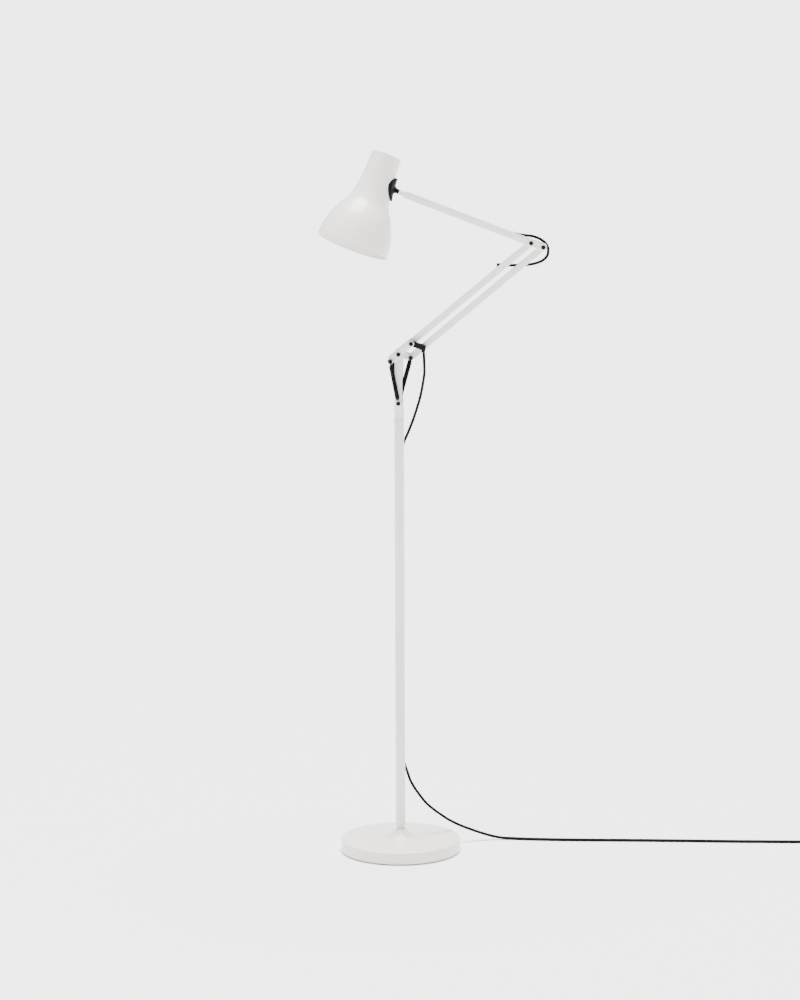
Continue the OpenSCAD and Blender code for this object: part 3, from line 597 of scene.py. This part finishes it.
def rounded_bar(p, q, width, depth, edge, groove=None):
    """A bar with fully round ends at p and q; a groove is (margin, wall, depth) on its upper side."""
    length = (q - p).length
    nothing_selected()
    bpy.ops.mesh.primitive_cube_add(size=1, location=(length / 2, 0, 0))
    bar = bpy.context.object
    bar.scale = (length + width, depth, width)
    bpy.ops.object.transform_apply(location=True, rotation=True, scale=True)
    edges_on()
    pick_edges(bar, lambda e: abs((e.verts[0].co - e.verts[1].co).normalized().y) > 0.9)
    bpy.ops.mesh.bevel(offset=width * 0.4995, segments=12, affect="EDGES", clamp_overlap=False)
    bpy.ops.mesh.select_all(action="SELECT")
    bpy.ops.mesh.remove_doubles(threshold=1e-5)
    if groove:
        margin, wall, sunk = groove
        for x in (margin, length - margin):
            bpy.ops.mesh.select_all(action="SELECT")
            bpy.ops.mesh.bisect(plane_co=(x, 0, 0), plane_no=(1, 0, 0))
        bpy.ops.mesh.select_mode(type="FACE")
        bpy.ops.mesh.select_all(action="DESELECT")
        pick_faces(bar, lambda f: (f.normal.z > 0.99
                                   and abs(f.calc_center_median().x - length / 2) < length * 0.2))
        bpy.ops.mesh.inset(thickness=wall)
        bpy.ops.mesh.extrude_region_move(TRANSFORM_OT_translate={"value": (0, 0, -sunk)})
    bpy.ops.mesh.select_mode(type="EDGE")
    bpy.ops.mesh.select_all(action="DESELECT")
    bpy.ops.mesh.edges_select_sharp(sharpness=math.radians(60))
    bpy.ops.mesh.bevel(offset=edge, segments=3, affect="EDGES", clamp_overlap=True)
    bpy.ops.mesh.select_all(action="SELECT")
    bpy.ops.mesh.remove_doubles(threshold=1e-6)
    bpy.ops.object.mode_set(mode="OBJECT")
    return bar


def make_bars():
    for name, p, q, body, nodes in (
            ("main_bar_channel", SHOULDER, ELBOW, "lower_arm", ["main_bar", "main_bar_ends"]),
            ("second_bar_channel", LEVER_END, LINKAGE, "second_bar", ["control_bar", "control_bar_ends"])):
        bar = rounded_bar(p, q, BAR_W, BAR_D, 0.6 * MM, BAR_GROOVE)
        settle(bar, name, body, WHITE_PAINT, "paint", nodes, in_plane(p, q))
    start, end = ELBOW + ARM_WAY * ARM_FROM, ELBOW + ARM_WAY * ARM_TO
    tube = rounded_bar(start, end, ARM_W, ARM_D, 1.3 * MM)
    settle(tube, "upper_tube_square", "upper_arm", WHITE_PAINT, "paint", ["upper_arm_tube"],
           in_plane(start, end))
    corners = [(2.56, 274.5), (5.4, 274.5), (5.4, 263), (5.9, 259.5), (4.2, 250), (2.56, 250)]
    ferrule = turned(scaled(rounded(corners, 0.5, 3) + corners[:1]), 48)
    settle(ferrule, "round_ferrule", "upper_arm", WHITE_PAINT, "paint", ["arm_ferrule"],
           on_axis(ELBOW, ARM_WAY))
    down = Vector((-ARM_WAY.z, 0, ARM_WAY.x))
    foot = ELBOW + ARM_WAY * GRUB_AT
    screw = turned(scaled(rounded([(0, 3), (2, 3), (2, 7.4), (1.1, 7.4), (1.1, 6.6), (0, 6.6)], 0.3)), 32)
    settle(screw, "clamp_screw", "upper_arm", *DARK, ["grub_screw"], on_axis(foot, down))


def bolt_outline(reach, shaft, cap, pip=True):
    """Half of a bolt's outline, from its middle out to one eased head whose top is at reach."""
    top = reach - (0.5 if pip else 0)
    seat = reach - cap
    head = rounded([(shaft, seat), (4.2, seat), (4.2, top), (2.0, top)], 0.9, 4)
    tip = [(2.0, top), (1.9, top + 0.35), (1.6, top + 0.5), (0, top + 0.5)] if pip else [(0, top)]
    return head + tip


def make_bolts():
    rows = (("shoulder_bolt", SHOULDER, 2.5, "turret_body", 3.4, True),
            ("cheek_bolt", CHEEK_END, 2.0, "lower_arm", 3.4, True),
            ("anchor_bolt", ANCHOR, 2.5, "turret_body", 3.4, True),
            ("elbow_bolt", ELBOW, 2.5, "elbow_pin", 3.4, True),
            ("linkage_bolt", LINKAGE, 2.5, "upper_arm", 3.4, True),
            ("lever_bolt", LEVER_END, 2.5, "lever_pin", 3.2, False))
    for node, at, shaft, body, cap, pip in rows:
        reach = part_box(node)[1][1] / MM
        half = bolt_outline(reach, shaft, cap, pip)
        outline = [(r, -z) for r, z in reversed(half)] + half
        settle(turned(scaled(outline), 40), node + "_turned", body, *DARK, [node], on_axis(at, (0, 1, 0)))
    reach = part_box("tail_studs")[1][1] / MM
    seat = 17.7
    for side, word in ((-1, "front"), (1, "rear")):
        outline = [(0, seat), (2.5, seat)] + bolt_outline(reach, 2.5, 3.4)
        stud = turned(scaled(outline), 40)
        settle(stud, "tail_stud_" + word, "lower_arm", *DARK, ["tail_studs"], on_axis(TAIL, (0, side, 0)))


def make_plates():
    eased("yoke", 0.35 * MM, "yoke_strap", "turret_body", WHITE_PAINT, "paint")
    eased("shoulder_cheeks", 0.25 * MM, "shoulder_cheek_plates", "lower_arm", WHITE_PAINT, "paint")
    eased("lever_plates", 0.25 * MM, "lever_plate_pair", "lever", WHITE_PAINT, "paint")
    eased("elbow_cheeks", 0.3 * MM, "elbow_cheek_plates", "upper_arm", WHITE_PAINT, "paint")
    eased("anchor_washers", 0.25 * MM, "anchor_washer_pair", "turret_body", WHITE_PAINT, "paint")
    eased("cable_clip", 0.8 * MM, "cable_clip_moulded", "lower_arm", BLACK_PLASTIC, "black_plastic", 3)
    eased("bar_grommet", 0.3 * MM, "bar_grommet_rubber", "lower_arm", SOFT_RUBBER, "soft_black", 2, 50)
    eased("arm_grommet", 0.3 * MM, "arm_grommet_rubber", "upper_arm", SOFT_RUBBER, "soft_black", 2, 50)
    eased("knuckle_stem", 0.3 * MM, "knuckle_stem_turned", "knuckle", BLACK_PLASTIC, "black_plastic", 2, 40)
    eased("knuckle_saddle", 0.4 * MM, "knuckle_saddle_moulded", "head", BLACK_PLASTIC, "black_plastic", 2, 40)


# ---------------------------------------------------------------- springs

WIRE_R = 0.9 * MM
COIL_R = 3.6 * MM
HOOK = 9.5 * MM
EYE_R = 3.65 * MM
PITCH = 1.86 * MM
TAPER = 3.4 * MM
OVER_HOOK = 3.2 * MM
OUTER_R = COIL_R + WIRE_R


def spring_line(length):
    """One wire: an eye round each pin, a shank, a narrowing turn and the close coil between."""
    def half_end():
        eye = [(EYE_R * math.cos(math.radians(a)), 0, EYE_R * math.sin(math.radians(a)))
               for a in range(330, 20, -20)]
        return eye + [(4.7 * MM, 0, 0.9 * MM), (5.5 * MM, 0, 0.15 * MM)]
    points = [Vector(p) for p in half_end()]
    start, end = HOOK - OVER_HOOK, length - HOOK + OVER_HOOK
    turns = round((end - start) / PITCH)
    per_turn = 14
    total = turns * per_turn
    for k in range(total + 1):
        share = k / total
        x = start + (end - start) * share
        ease = min(x - start, end - x) / TAPER
        r = COIL_R * (0.12 + 0.88 * eased_step(ease)) if ease < 1 else COIL_R
        a = math.tau * turns * share
        points.append(Vector((x, r * math.sin(a), r * math.cos(a))))
    points += [Vector((length - p[0], p[1], p[2])) for p in reversed(half_end())]
    return points


def make_springs():
    inner_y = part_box("right_springs")[1][1] - OUTER_R
    outer_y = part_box("left_springs")[1][1] - OUTER_R
    rows = (("left", ANCHOR, TAIL, outer_y, ("left_springs_low", "left_springs_high"),
             ["left_springs", "left_spring_hooks"]),
            ("right", LEVER_END, ANCHOR, inner_y, ("lever_pin", "right_springs_low"),
             ["right_springs", "right_spring_hooks"]))
    for pair, first, second, y, bodies, nodes in rows:
        for side, word in ((-1, "front"), (1, "rear")):
            p = Vector((first.x, side * y, first.z))
            q = Vector((second.x, side * y, second.z))
            length = (q - p).length
            spring = tube_along(spring_line(length), WIRE_R, 2)
            settle(spring, word + "_" + pair + "_spring", None, BLACK_SPRING, "black_spring", nodes,
                   in_plane(p, q), smooth=60)
            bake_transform(spring)


make_bars()
make_bolts()
make_plates()
make_springs()

# ---------------------------------------------------------------- head

TILT_OUT = 40.11 * MM
HEAD_TOP = 56.5
SHADE_LEN = 187.0
SHADE_R, NECK_R, SHEET_T = 72.0, 30.0, 1.2
OUTLINE = [(0, 0), (0.15, 0.01), (0.3, 0.055), (0.42, 0.14), (0.53, 0.29), (0.63, 0.55),
           (0.73, 0.755), (0.86, 0.92), (1, 1)]


def head_place():
    z = UP.normalized()
    y = Vector(joints["head_tilt"]["axis"]).normalized()
    x = y.cross(z)
    return basis(x, y, z, TILT - x * TILT_OUT)


HEAD = head_place()


def shade_line(out):
    return [(NECK_R + (SHADE_R - NECK_R) * v.y + out, HEAD_TOP - SHADE_LEN * v.x)
            for v in smooth_path([(a, b, 0) for a, b in OUTLINE], 8)]


def make_shade():
    outer, inner = shade_line(0), shade_line(-SHEET_T)
    mouth = HEAD_TOP - SHADE_LEN
    bead_r, bead = SHADE_R - SHEET_T, 1.0
    roll = [(bead_r + bead * math.cos(math.radians(a)), mouth + bead * math.sin(math.radians(a)))
            for a in range(30, -211, -20)]
    outline = outer[:-1] + roll + list(reversed(inner))[1:] + [outer[0]]
    settle(turned(scaled(outline), 144), "bell_shade", "head", WHITE_PAINT, "paint", ["shade"], HEAD, 40)


def make_cap_and_button():
    hole, dome = 8.3, 3.0
    crown = [(NECK_R - 0.2 - (NECK_R - 0.2 - hole) * k / 10, HEAD_TOP + dome * (1 - (1 - k / 10) ** 2 * 0.95))
             for k in range(11)]
    outline = [(27.5, HEAD_TOP - 7), (28.7, HEAD_TOP - 7), (28.7, HEAD_TOP), (29.8, HEAD_TOP)] + crown
    outline += [(hole, HEAD_TOP), (27.5, HEAD_TOP), (27.5, HEAD_TOP - 7)]
    settle(turned(scaled(outline), 120), "shade_top_cap", "head", WHITE_PAINT, "paint", ["top_cap"], HEAD, 40)
    top = HEAD_TOP + dome - 0.2
    button = [(0, top)] + [(0.94 * k, top - 0.5 * (k / 8) ** 2) for k in range(1, 9)]
    button += [(8, top - 1.1), (8, HEAD_TOP - 0.3), (10.5, HEAD_TOP - 0.3), (10.5, HEAD_TOP - 1.8),
               (2, HEAD_TOP - 1.8), (2, HEAD_TOP - 8), (0, HEAD_TOP - 8)]
    settle(turned(scaled(button), 72), "press_button", "button", BLACK_PLASTIC, "black_plastic",
           ["push_button"], HEAD, 40)


make_shade()
make_cap_and_button()

# ---------------------------------------------------------------- finishes of the pieces kept as cut

KEPT = {
    "base_weight": CAST_IRON, "pole_bolt": BRIGHT_STEEL, "pole_foot": BRIGHT_STEEL,
    "pole_joiner": BRIGHT_STEEL, "swivel_bush": PALE_NYLON, "cable_in_pole": CABLE_SHEATH,
    "plug_pins": NICKEL_BRASS, "yoke_screw": BRIGHT_STEEL, "shoulder_spacers": BRIGHT_STEEL,
    "cable_in_main_bar": CABLE_SHEATH, "cable_in_upper_arm": CABLE_SHEATH, "tilt_pin": BLACK_BOLT,
    "lamp_holder": BLACK_PLASTIC, "bulb_glass": OPAL_GLASS, "bulb_base": NICKEL_BRASS,
}
for node, finish in KEPT.items():
    mesh = frame["nodes"][node].data
    mesh.materials.clear()
    mesh.materials.append(finish)
